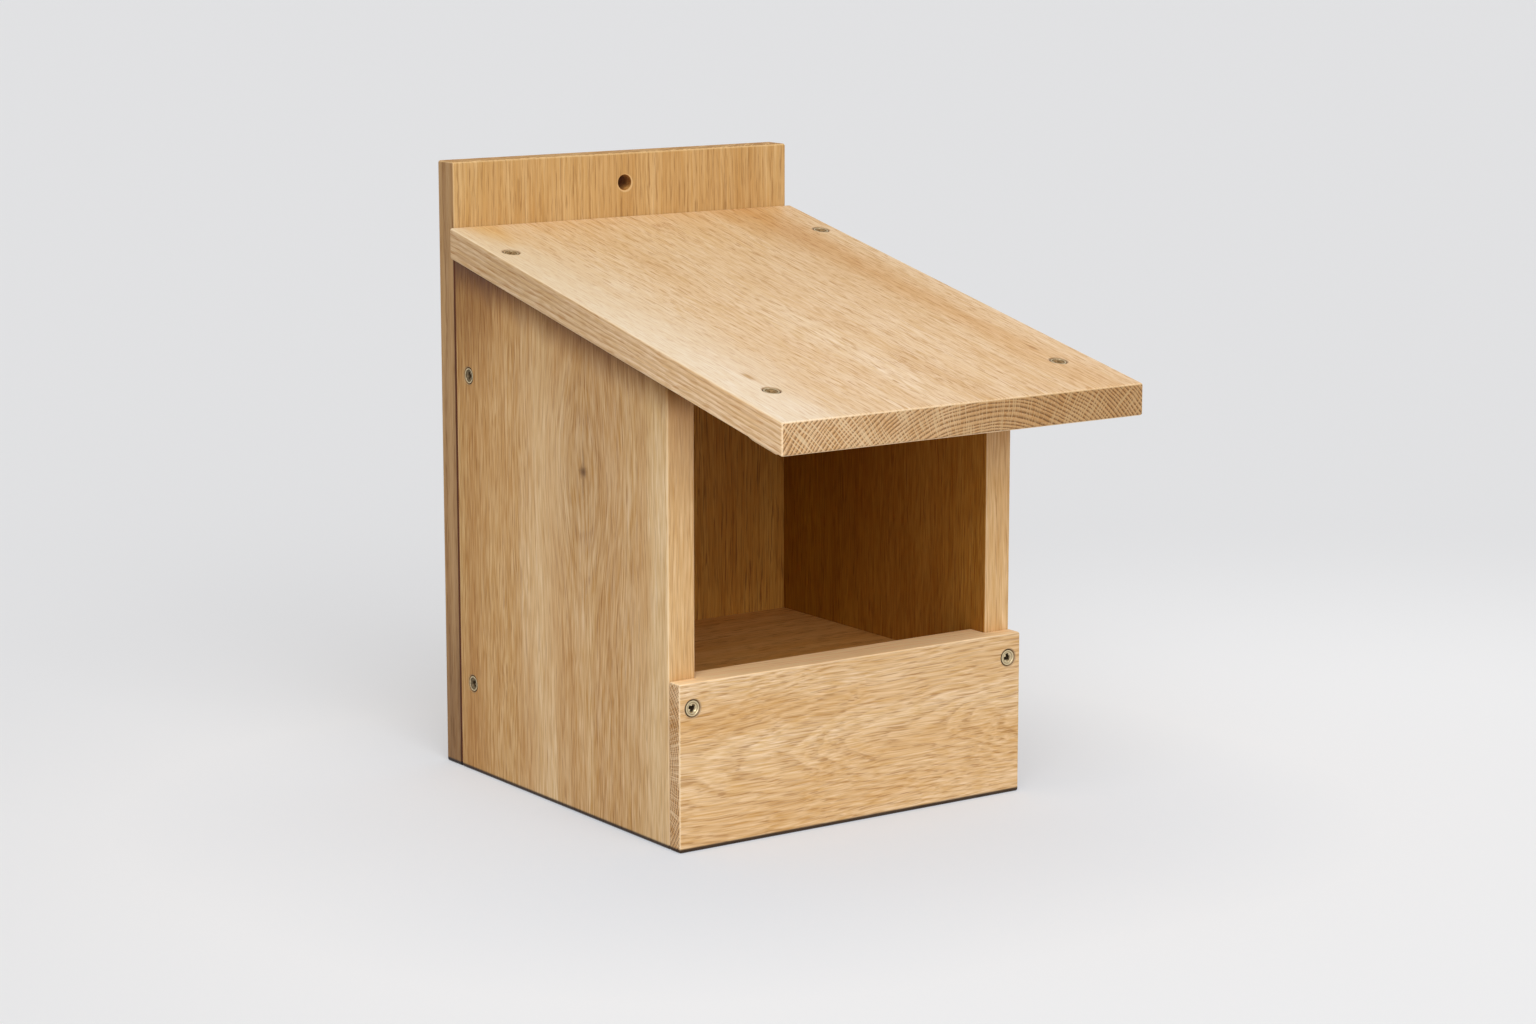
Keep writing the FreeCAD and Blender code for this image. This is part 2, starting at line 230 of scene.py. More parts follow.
bpy.context.scene.view_settings.view_transform = "Standard"
lightStudio(studio)
layFloor(studio)
print("camera, light and floor placed")

weldGap = 0.001 * mm                     # points closer than this are one point
endSlice = 0.02 * mm                     # how thin a slice of a screw's solid counts as its end
screwNodes = ("front_screws", "left_side_screws", "right_side_screws", "hanging_board_screws",
              "roof_rear_screws", "roof_front_screws")


def screwSeats(node):
    # each screw of a group, read from its solid: the middle of its head, the way that faces, its length
    bm = bmesh.new()
    bm.from_mesh(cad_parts[node].data)
    bmesh.ops.remove_doubles(bm, verts=bm.verts, dist=weldGap)
    left = set(bm.verts)
    seats = []
    while left:
        shell = set()
        waiting = [left.pop()]
        while waiting:
            vert = waiting.pop()
            shell.add(vert)
            near = {edge.other_vert(vert) for edge in vert.link_edges} & left
            left -= near
            waiting.extend(near)
        points = np.array([vert.co for vert in shell])
        middle = points.mean(0)
        lengthwise = np.linalg.svd(points - middle, full_matrices=False)[2][0]
        along = (points - middle) @ lengthwise
        ends = [points[along > along.max() - endSlice], points[along < along.min() + endSlice]]
        ends.sort(key=lambda end: np.ptp(end, axis=0).sum())
        tip, head = (Vector(end.mean(0)) for end in ends)
        seats.append({"head": head, "axis": (head - tip).normalized(), "length": (head - tip).length})
    bm.free()
    return sorted(seats, key=lambda seat: tuple(seat["head"]))


seatsOf = {node: screwSeats(node) for node in screwNodes}

# Oak, sawn and planed: a solid pattern in the log's own millimetres (x and y across the trunk, z along it),
# so rings run as arches on end grain and as lines on the faces, and meet at every edge
oakGrain = {
    # sizes of the slow bends: two across the grain and one along it
    "broadWander": (45, 45, 120),
    "fineWander": (7, 7, 24),
    # width of each pattern across the grain, and how many finer copies are added to it
    "dash": (0.65, 1.0),                 # open pores are 0.3 mm wide, drawn coarser so that they show
    "fibre": (0.75, 2.0),
    "streak": (5, 2.0),
    "tone": (20, 2.0),
    "wanderFiner": 1.0,
    "jitterFiner": 2.0,
    "rayFiner": 0.0,
    "streakLength": 110,
    "toneLength": 220,
    "ringJitter": 11,                    # distance over which ring widths change
    "rayLength": 14,
    "rayTurns": 190,                     # rays for each radian round the trunk
    # how strongly they show
    "fineShare": 0.16,                   # of the slow bends
    "ringJitterShare": 2.0,
    "ringOnEnd": 0.90,
    "fibreDepth": 0.10,
    "streakDepth": 0.09,
    "warmth": (0.58, 1.0, 2.0),          # how much red, green and blue give way in a dark streak
    "dashStray": 0.45,                   # pores outside the porous bands
    "rayOnFace": 0.04,
    "rayOnEnd": 0.70,
    "arrisRubAndHighlight": 0.45,
    # how their values are cut
    "dashCut": (0.50, 0.66),
    "rayCut": (0.53, 0.65),
    "ringStart": 0.12,                   # shares of a year's growth
    "ringFade": (0.15, 0.75),
    "endFacing": (0.70, 0.93),           # how squarely a surface faces along the grain
    "arrisFacing": (0.96, 0.80),
    "roughness": 0.50,
    "rougherPore": 0.2,
    "rougherEnd": 0.2,
}


def buildOakFigure(grain):
    numbers = ("Swell", "Ring spacing", "Wander", "Ring show", "Pore show", "Pore length", "Fibre show",
               "Fibre length", "Streak show")
    colours = ("Light", "Honey", "Ring", "Pore", "Pale", "End", "End ring")
    tree = newGroup(
        "oakFigure", "ShaderNodeTree", {"Vector": ("Log", "Normal"), "Float": numbers, "Color": colours},
        {"Color": ("Color",), "Float": ("Roughness", "Height")})
    given = addNode(tree, "NodeGroupInput").outputs

    # the grain wanders, slowly and finely, but only across the trunk
    wandered = given["Log"]
    for size, share in ((grain["broadWander"], 1.0), (grain["fineWander"], grain["fineShare"])):
        spot = addNode(tree, "VectorMath", {0: given["Log"], 1: size}, operation="DIVIDE")
        noise = addNode(tree, "TexNoise", {"Vector": spot, "Scale": 1.0, "Detail": grain["wanderFiner"]})
        centre = -share * noiseMiddle
        across = addNode(
            tree, "VectorMath", {0: noise.outputs["Color"], 1: (share, share, 0), 2: (centre, centre, 0)},
            operation="MULTIPLY_ADD")
        scaled = addNode(tree, "VectorMath", {0: across, "Scale": given["Wander"]}, operation="SCALE")
        wandered = addNode(tree, "VectorMath", {0: wandered, 1: scaled}, operation="ADD")

    # growth rings: sharp start of a porous band, then a slow fade into dense late wood
    flat = addNode(tree, "VectorMath", {0: wandered, 1: (1, 1, 0)}, operation="MULTIPLY")
    radius = addNode(tree, "VectorMath", {0: flat}, operation="LENGTH")
    radius = addNode(tree, "Math", {0: radius, 1: given["Swell"]}, operation="SUBTRACT")
    slow = addNode(tree, "Math", {0: radius, 1: grain["ringJitter"]}, operation="DIVIDE")
    uneven = addNode(
        tree, "TexNoise", {"W": slow, "Scale": 1.0, "Detail": grain["jitterFiner"]}, noise_dimensions="1D")
    count = addNode(tree, "Math", {0: radius, 1: given["Ring spacing"]}, operation="DIVIDE")
    phase = addNode(
        tree, "Math", {0: uneven, 1: grain["ringJitterShare"], 2: count}, operation="MULTIPLY_ADD")
    year = addNode(tree, "Math", {0: phase}, operation="FRACT")
    start = addNode(tree, "MapRange", {"Value": year, "From Max": grain["ringStart"]}, **softly)
    fade = addNode(
        tree, "MapRange", {"Value": year, fromLimits: grain["ringFade"], toLimits: (1.0, 0.0)}, **softly)
    early = addNode(tree, "Math", {0: start, 1: fade}, operation="MULTIPLY")

    # pores, fibres, streaks and slow changes of tone, all drawn out along the grain
    drawn = {}
    for name, length in (("dash", given["Pore length"]), ("fibre", given["Fibre length"]),
                         ("streak", grain["streakLength"]), ("tone", grain["toneLength"])):
        width, finer = grain[name]
        size = addNode(tree, "CombineXYZ", {"X": width, "Y": width, "Z": length})
        spot = addNode(tree, "VectorMath", {0: wandered, 1: size}, operation="DIVIDE")
        drawn[name] = addNode(tree, "TexNoise", {"Vector": spot, "Scale": 1.0, "Detail": finer})
    tone = addNode(tree, "MapRange", {"Value": drawn["tone"], fromLimits: noiseSpread})
    dash = addNode(tree, "MapRange", {"Value": drawn["dash"], fromLimits: grain["dashCut"]}, **softly)
    gather = addNode(
        tree, "Math", {0: early, 1: 1 - grain["dashStray"], 2: grain["dashStray"]}, operation="MULTIPLY_ADD")
    pores = addNode(tree, "Math", {0: dash, 1: gather}, operation="MULTIPLY")

    # rays: pale lines out from the trunk's centre, which show on end grain
    parts = addNode(tree, "SeparateXYZ", {0: wandered}).outputs
    angle = addNode(tree, "Math", {0: parts["Y"], 1: parts["X"]}, operation="ARCTAN2")
    polar = addNode(tree, "CombineXYZ", {"X": angle, "Y": radius, "Z": parts["Z"]})
    raySize = (1 / grain["rayTurns"], grain["rayLength"], grain["rayLength"])
    spot = addNode(tree, "VectorMath", {0: polar, 1: raySize}, operation="DIVIDE")
    noise = addNode(tree, "TexNoise", {"Vector": spot, "Scale": 1.0, "Detail": grain["rayFiner"]})
    rays = addNode(tree, "MapRange", {"Value": noise, fromLimits: grain["rayCut"]}, **softly)

    # which surface it is: sawn end or rounded arris
    facing = addNode(tree, "VectorMath", {0: given["Normal"]}, operation="ABSOLUTE")
    sides = addNode(tree, "SeparateXYZ", {0: facing}).outputs
    sawnEnd = addNode(tree, "MapRange", {"Value": sides["Z"], fromLimits: grain["endFacing"]}, **softly)
    most = addNode(tree, "Math", {0: sides["X"], 1: sides["Y"]}, operation="MAXIMUM")
    most = addNode(tree, "Math", {0: most, 1: sides["Z"]}, operation="MAXIMUM")
    arris = addNode(tree, "MapRange", {"Value": most, fromLimits: grain["arrisFacing"]}, **softly)

    # colour, from the ground tone up
    colour = addNode(
        tree, "Mix", {"Factor": tone, "A": given["Light"], "B": given["Honey"]}, data_type="RGBA")
    ringShare = addNode(tree, "Mix", {"Factor": sawnEnd, "A": given["Ring show"], "B": grain["ringOnEnd"]})
    ringShare = addNode(tree, "Math", {0: early, 1: ringShare}, operation="MULTIPLY")
    ringColour = addNode(
        tree, "Mix", {"Factor": sawnEnd, "A": given["Ring"], "B": given["End ring"]}, data_type="RGBA")
    colour = addNode(tree, "Mix", {"Factor": ringShare, "A": colour, "B": ringColour}, data_type="RGBA")
    for name in ("streak", "fibre"):
        depth = grain[name + "Depth"]
        level = addNode(
            tree, "MapRange", {"Value": drawn[name], fromLimits: noiseSpread, toLimits: (-depth, depth)})
        tint = addNode(
            tree, "VectorMath", {0: level, 1: grain["warmth"], 2: (1, 1, 1)}, operation="MULTIPLY_ADD")
        colour = addNode(
            tree, "Mix", {"Factor": given[name.capitalize() + " show"], "A": colour, "B": tint},
            data_type="RGBA", blend_type="MULTIPLY", clamp_factor=False)
    poreShare = addNode(tree, "Math", {0: pores, 1: given["Pore show"]}, operation="MULTIPLY")
    colour = addNode(tree, "Mix", {"Factor": poreShare, "A": colour, "B": given["Pore"]}, data_type="RGBA")
    rayShare = addNode(tree, "Mix", {"Factor": sawnEnd, "A": grain["rayOnFace"], "B": grain["rayOnEnd"]})
    rayShare = addNode(tree, "Math", {0: rays, 1: rayShare}, operation="MULTIPLY")
    colour = addNode(tree, "Mix", {"Factor": rayShare, "A": colour, "B": given["Pale"]}, data_type="RGBA")
    colour = addNode(
        tree, "Mix", {"Factor": sawnEnd, "A": colour, "B": given["End"]},
        data_type="RGBA", blend_type="MULTIPLY")
    # paler arrises: partly rubbed wear, partly a painted highlight
    rubbedAndHighlit = addNode(tree, "Math", {0: arris, 1: grain["arrisRubAndHighlight"]}, operation="MULTIPLY")
    colour = addNode(tree, "Mix", {"Factor": rubbedAndHighlit, "A": colour, "B": given["Pale"]}, data_type="RGBA")

    # open pores are rougher and lie lower
    rough = addNode(
        tree, "Math", {0: pores, 1: grain["rougherPore"], 2: grain["roughness"]}, operation="MULTIPLY_ADD")
    rough = addNode(tree, "Math", {0: sawnEnd, 1: grain["rougherEnd"], 2: rough}, operation="MULTIPLY_ADD")
    height = addNode(tree, "Math", {0: drawn["fibre"], 1: pores}, operation="SUBTRACT")
    addNode(tree, "NodeGroupOutput", {"Color": colour, "Roughness": rough, "Height": height})
    return tree


# Knot: grain that parts round an eye, rings that bulge there, a small dark core with a drying check above
# and below it
knotLook = {
    "colour": "#6C4924",
    "checkWidth": 1.3,
    "blotSize": 2.2,                     # ragged edge of the core
    "blotShare": 1.6,
    "blotFiner": 2.0,
}
sideKnot = {
    "centre": (0, 2, 27),                # in the log's millimetres
    "ringShow": 0.06,                    # how much more the rings show round it
    "sizes": {"Eye width": 28, "Eye height": 46, "Squeeze": 0.62, "Swell": 6, "Core": 3.2, "Check": 14,
              "Check depth": 0.60, "Eye depth": 0.16},
}


def buildKnot(look, labels):
    tree = newGroup(
        "oakKnot", "ShaderNodeTree", {"Vector": ("Log", "Centre"), "Float": labels},
        {"Vector": ("Log",), "Float": ("Swell", "Eye", "Dark")})
    given = addNode(tree, "NodeGroupInput").outputs
    offset = addNode(tree, "VectorMath", {0: given["Log"], 1: given["Centre"]}, operation="SUBTRACT")
    beside = addNode(tree, "VectorMath", {0: offset, 1: (0, 1, 1)}, operation="MULTIPLY")
    blot = addNode(
        tree, "TexNoise",
        {"Vector": given["Log"], "Scale": 1 / look["blotSize"], "Detail": look["blotFiner"]})
    ragged = addNode(
        tree, "Math", {0: blot, 1: look["blotShare"], 2: 1 - look["blotShare"] * noiseMiddle},
        operation="MULTIPLY_ADD")

    humps = []
    for width, height, edge in ((given["Eye width"], given["Eye height"], 1.0),
                                (given["Core"], given["Core"], ragged),
                                (look["checkWidth"], given["Check"], ragged)):
        size = addNode(tree, "CombineXYZ", {"X": 1.0, "Y": width, "Z": height})
        share = addNode(tree, "VectorMath", {0: beside, 1: size}, operation="DIVIDE")
        square = addNode(tree, "VectorMath", {0: share, 1: share}, operation="DOT_PRODUCT")
        square = addNode(tree, "Math", {0: square, 1: edge}, operation="MULTIPLY")
        negative = addNode(tree, "Math", {0: square, 1: -1.0}, operation="MULTIPLY")
        humps.append(addNode(tree, "Math", {0: negative}, operation="EXPONENT"))
    eye, core, check = humps
    squeeze = addNode(tree, "Math", {0: eye, 1: given["Squeeze"]}, operation="MULTIPLY")
    across = addNode(tree, "VectorMath", {0: offset, 1: (0, 1, 0)}, operation="MULTIPLY")
    shift = addNode(tree, "VectorMath", {0: across, "Scale": squeeze}, operation="SCALE")
    moved = addNode(tree, "VectorMath", {0: given["Log"], 1: shift}, operation="SUBTRACT")
    swell = addNode(tree, "Math", {0: eye, 1: given["Swell"]}, operation="MULTIPLY")
    dark = core
    for hump, depth in ((check, given["Check depth"]), (eye, given["Eye depth"])):
        shade = addNode(tree, "Math", {0: hump, 1: depth}, operation="MULTIPLY")
        dark = addNode(tree, "Math", {0: dark, 1: shade}, operation="MAXIMUM")
    addNode(tree, "NodeGroupOutput", {"Log": moved, "Swell": swell, "Eye": eye, "Dark": dark})
    return tree


oakFigure = buildOakFigure(oakGrain)
oakKnot = buildKnot(knotLook, sideKnot["sizes"])

# Planed and lightly oiled oak: a satin face with fine dark pores, duller sawn ends, arrises paler from rubbing and a
# painted highlight
oakFinish = {
    "facing": (0.60, 0.95),              # how squarely a face looks the named way
    "ragSize": (14, 14, 60),             # of the ragged edges of a glaze, in the log
    "ragFiner": 3.0,
    "sheen": 0.3,
    "bumpStrength": 0.18,
    "bumpDepth": 0.3,
}
oakColours = {"Light": "#E9C89B", "Honey": "#DCB27A", "Ring": "#B88850", "Pore": "#8A6136",
              "Pale": "#F3DDB9", "End": "#E6D6C0", "End ring": "#8A6136"}
toLeft = (-1, 0, 0)
toRight = (1, 0, 0)
toFront = (0, -1, 0)
toBack = (0, 1, 0)
upward = (0, 0, 1)
downward = (0, 0, -1)
roofSlope = math.radians(12)
upFromRoof = (0, -math.sin(roofSlope), math.cos(roofSlope))
downFromRoof = (0, math.sin(roofSlope), -math.cos(roofSlope))
upTheRoof = (0, math.cos(roofSlope), math.sin(roofSlope))

# Glazes, the stains and the painted light and shade over the oak's figure: on faces that look one way, along a
# stretch, round a spot that may be drawn out, or where these meet. Places are in millimetres from the hanging hole.
endless = 1000                           # stretch of a spot that runs right through
smudgeOffset = 19                        # up the slope from a screw
paintedInsideShade = "#D6B66B"                   # painted shade on the inside faces, darker and warmer there
paintedHeadShade = {"reach": (5.2, 3.9), "colour": "#8C7452"}      # painted shade in the gap round each screw head
pencilSmudges = [{"round": seat["head"] / mm + smudgeOffset * Vector(upTheRoof), "stretch": (0.6, 2.0, 2.0),
                  "reach": (3.2, 0.4), "ragged": 2.5, "colour": "#D8C3A2"}
                 for seat in seatsOf["roof_front_screws"]]
paintedFootShadow = {"along": downward, "span": (287.4, 288.5), "colour": "#463C30"}      # painted contact shadow along the edge that it stands on
# painted shadow just under the roof
paintedRoofShadow = {"along": downFromRoof, "span": (47, 28.5), "ragged": 5, "colour": "#A58D5F"}
roofShade = {"along": downFromRoof, "span": (84, 46), "ragged": 8, "colour": "#F0EADF"}
# painted shadow of the eaves on faces that look forward
paintedEavesShadow = {"facing": toFront, "along": downFromRoof, "span": (100, 30), "colour": "#C0A888"}
rearShade = {"along": toBack, "span": (-290, -60), "colour": "#DAD5CA"}
holeWall = {"round": (0, 0, 0), "stretch": (1, endless, 1), "reach": (4.2, 3.9)}
paintedSeamShade = {"stretch": (1, 1, endless), "reach": (1.3, 0.8), "along": downward, "span": (31, 34),
            "colour": "#6E4210"}         # painted shade in the open joint below the roof

# Boards: pith is where the trunk's centre ran, and logTurn turns the trunk's length onto the board's grain.
# The rings show by ringShow on its faces, and by edgeShow on the two narrow edges that look along edges.
roofBoard = {
    "node": "roof_board", "pith": (10, -141, -138), "logTurn": (102.5, 0, 0),
    "ringShow": 0.08, "edges": toRight, "edgeShow": 0.50,
    "figure": {"Ring spacing": 1.8, "Wander": 5, "Pore show": 0.75, "Pore length": 8, "Fibre show": 1.6,
               "Fibre length": 14, "Streak show": 0.35},
    "colours": {"Light": "#F4D5AE", "Honey": "#E7BF8E", "Pore": "#C4925E", "End": "#E3D9CC",
                "End ring": "#7E5F38"},
    "screws": ("roof_rear_screws", "roof_front_screws"),
    "glazes": [
        # painted shade on the underside
        {"facing": downFromRoof, "colour": "#EFD9B4"},
        {"facing": toLeft, **rearShade},
        {"facing": toRight, **rearShade},
        {"facing": toFront, "along": toRight, "span": (-90, 50), "ragged": 20, "colour": "#DACFBC"},
        # pale along the left, a little darker to the rear, a warm stripe on the right and warm rear corners
        {"facing": upFromRoof, "along": toLeft, "span": (45, 98), "ragged": 16, "colour": "#BCA491",
         "blend": "SCREEN"},
        {"facing": upFromRoof, "along": toBack, "span": (-290, -20), "colour": "#EFEADD"},
        {"facing": upFromRoof, "round": (79, 0, 0), "stretch": (1, endless, endless), "reach": (19, 0),
         "ragged": 11, "colour": "#F8EFE0"},
        {"facing": upFromRoof, "round": (-84, -15, -17), "stretch": (1, 2.6, 10), "reach": (17, 2),
         "ragged": 9, "colour": "#F7E7C6"},
        {"facing": upFromRoof, "round": (66, -15, -17), "stretch": (1, 4.5, 20), "reach": (24, 2),
         "ragged": 11, "colour": "#F7EEE0"},
    ] + pencilSmudges,
}
hangingBoard = {
    "node": "hanging_board", "pith": (150, 70, -130), "logTurn": (0.5, 0, 0),
    "ringShow": 0.25, "edges": toRight, "edgeShow": 0.45,
    "figure": {"Ring spacing": 2.8, "Wander": 4, "Pore show": 0.50, "Pore length": 12, "Fibre show": 1.2,
               "Fibre length": 40, "Streak show": 1.0},
    "colours": {"Light": "#CAA269", "Honey": "#BC8F53", "Ring": "#9D6F39", "Pore": "#805626",
                "Pale": "#E6C48F", "End": "#FFF4E4", "End ring": "#A67C48"},
    "screws": ("hanging_board_screws",),
    "glazes": [
        # cooler edges, a painted highlight on the hole's rim, a darker and duller wall in the hole with painted shade
        # that deepens inward, and painted shade in the seams
        {"facing": toLeft, "colour": "#DCD8DC"},
        {"facing": toRight, "colour": "#DCD8DC"},
        {"facing": toLeft, "along": downward, "span": (180, 270), "ragged": 40, "colour": "#DCD6CE"},
        # painted highlight on the lower right of the hole's rim
        {"facing": toFront, "round": (0.4, 0, -0.4), "stretch": (1, endless, 1), "reach": (4.9, 4.3),
         "colour": "#E6C48F", "blend": "MIX", "share": 0.5},
        # the hole's wall: darker and duller, with painted shade that deepens away from the front
        {**holeWall, "colour": "#EACB88", "rougher": 0.5},
        {**holeWall, "along": toBack, "span": (-14, -4), "colour": "#B08238"},
        {"round": (-100, -15, 0), **paintedSeamShade},
        {"round": (100, -15, 0), **paintedSeamShade},
        paintedFootShadow,
    ],
}
leftSide = {
    "node": "left_side", "pith": (-35, -135, -150), "logTurn": (0, 0.5, 0),
    "ringShow": 0.12, "edges": toBack, "edgeShow": 0.22,
    "figure": {"Ring spacing": 2.5, "Wander": 6, "Pore show": 0.55, "Pore length": 14, "Fibre show": 3.3,
               "Fibre length": 18, "Streak show": 1.4},
    "colours": {"Light": "#D2AC79", "Honey": "#BF9056", "Ring": "#A57440", "Pore": "#8F6030"},
    "knot": sideKnot,
    "screws": ("left_side_screws",),
    "glazes": [
        {"facing": toRight, "colour": paintedInsideShade},
        # darker in two steps to the rear, pale at the front and down the middle, and a brown painted shade at the rear
        # top under the roof
        {"along": toBack, "span": (-84, -64), "ragged": 14, "colour": "#F8F2E2"},
        {"along": toBack, "span": (-52, -20), "ragged": 12, "colour": "#F3EFE3"},
        {"facing": toLeft, "along": toFront, "span": (172, 198), "ragged": 14, "colour": "#8A7458",
         "blend": "SCREEN"},
        {"round": (-100, -98, 0), "stretch": (1, 1, endless), "reach": (30, 6), "ragged": 18,
         "colour": "#7A664E", "blend": "SCREEN"},
        {"facing": toLeft, "round": (-100, -22, -40), "stretch": (1, 1, 1.6), "reach": (48, 8), "ragged": 12,
         "colour": "#E0D4B6"},
        {"facing": toLeft, **roofShade},
        {**paintedEavesShadow, "share": 0.7},
        {"facing": toFront, "colour": "#EBCB98", "blend": "MIX", "share": 0.25},
        paintedRoofShadow, paintedFootShadow,
    ],
}
rightSide = {
    "node": "right_side", "pith": (30, -90, -150), "logTurn": (0, -1, 0),
    "ringShow": 0.12, "edges": toBack, "edgeShow": 0.22,
    "figure": {"Ring spacing": 2.6, "Wander": 6, "Pore show": 0.60, "Pore length": 14, "Fibre show": 3.2,
               "Fibre length": 20, "Streak show": 1.4},
    "colours": leftSide["colours"],
    "screws": ("right_side_screws",),
    "glazes": [
        {"facing": toLeft, "colour": paintedInsideShade},
        # painted shade on the inside face, deepening towards the back
        {"facing": toLeft, "along": toBack, "span": (-170, -40), "colour": "#EAE38C"},
        {"facing": toFront, "colour": "#F6CB90", "blend": "MIX", "share": 0.22},
        {"facing": toRight, **roofShade},
        paintedEavesShadow, paintedRoofShadow, paintedFootShadow,
    ],
}
frontBoard = {
    "node": "front_board", "pith": (0, -169, -252), "logTurn": (0, 90, -3.5),
    "ringShow": 0.27, "edges": upward, "edgeShow": 0.20,
    "figure": {"Ring spacing": 1.7, "Wander": 8, "Pore show": 0.62, "Pore length": 22, "Fibre show": 2.2,
               "Fibre length": 40, "Streak show": 0.4},
    "colours": {"Light": "#DEBD91", "Honey": "#D2A872", "Ring": "#AC7F4A", "Pore": "#9C6E3A",
                "End": "#F4EBE2"},
    "screws": ("front_screws",),
    "glazes": [
        {"facing": toBack, "colour": paintedInsideShade},
        # painted light on the top face, which the roof shades
        {"facing": upward, "colour": "#A69779", "blend": "ADD"},
        paintedFootShadow,
    ],
}
backPanel = {
    "node": "back_panel", "pith": (-20, 30, -150), "logTurn": (1, 0, 0),
    "ringShow": 0.20, "edges": toRight, "edgeShow": 0.30,
    "figure": {"Ring spacing": 2.6, "Wander": 6, "Pore show": 0.70, "Pore length": 16, "Fibre show": 2.4,
               "Fibre length": 26, "Streak show": 1.8},
    "glazes": [{"facing": toFront, "colour": paintedInsideShade}, paintedFootShadow],
}
floorBoard = {
    "node": "floor_board", "pith": (0, -110, -300), "logTurn": (0, 90, 2),
    "ringShow": 0.18, "edges": toBack, "edgeShow": 0.30,
    "figure": {"Ring spacing": 2.6, "Wander": 8, "Pore show": 0.65, "Pore length": 10, "Fibre show": 1.3,
               "Fibre length": 26, "Streak show": 1.3},
    # painted shade on the floor's inside face, lighter than on the walls
    "glazes": [{"facing": upward, "colour": "#FCE8B8"}],
}
roofBatten = {
    "node": "roof_batten", "pith": (0, -200, -130), "logTurn": (0, 90, 1),
    "ringShow": 0.12, "edges": toBack, "edgeShow": 0.30,
    "figure": {"Ring spacing": 2.2, "Wander": 4, "Pore show": 0.65, "Pore length": 10, "Fibre show": 1.2,
               "Fibre length": 26, "Streak show": 1.2},
    "screws": ("roof_front_screws",),
    # painted shade on the underside
    "glazes": [{"facing": downFromRoof, "colour": "#EFD9B4"}],
}


def glazeMask(tree, place, log, glaze):
    # 1 where all of the glaze's limits hold, less at their soft edges, 0 elsewhere
    spot = addNode(tree, "VectorMath", {0: place["Object"], "Scale": 1 / mm}, operation="SCALE")
    reached = []
    if "along" in glaze:
        along = addNode(tree, "VectorMath", {0: spot, 1: glaze["along"]}, operation="DOT_PRODUCT")
        reached.append((along, glaze["span"]))
    if "round" in glaze:
        offset = addNode(tree, "VectorMath", {0: spot, 1: glaze["round"]}, operation="SUBTRACT")
        shrunk = addNode(
            tree, "VectorMath", {0: offset, 1: glaze.get("stretch", (1, 1, 1))}, operation="DIVIDE")
        far = addNode(tree, "VectorMath", {0: shrunk}, operation="LENGTH")
        reached.append((far, glaze["reach"]))
    if "ragged" in glaze:
        rag = addNode(tree, "VectorMath", {0: log, 1: oakFinish["ragSize"]}, operation="DIVIDE")
        noise = addNode(tree, "TexNoise", {"Vector": rag, "Scale": 1.0, "Detail": oakFinish["ragFiner"]})
        swing = addNode(tree, "MapRange", {"Value": noise, toLimits: (-glaze["ragged"], glaze["ragged"])})
        reached = [(addNode(tree, "Math", {0: value, 1: swing}, operation="ADD"), span)
                   for value, span in reached]
    if "facing" in glaze:
        turned = addNode(
            tree, "VectorMath", {0: place["Normal"], 1: glaze["facing"]}, operation="DOT_PRODUCT")
        reached.append((turned, oakFinish["facing"]))
    mask = glaze.get("share", 1.0)
    for value, span in reached:
        lies = addNode(tree, "MapRange", {"Value": value, fromLimits: span}, **softly)
        mask = addNode(tree, "Math", {0: lies, 1: mask}, operation="MULTIPLY")
    return mask


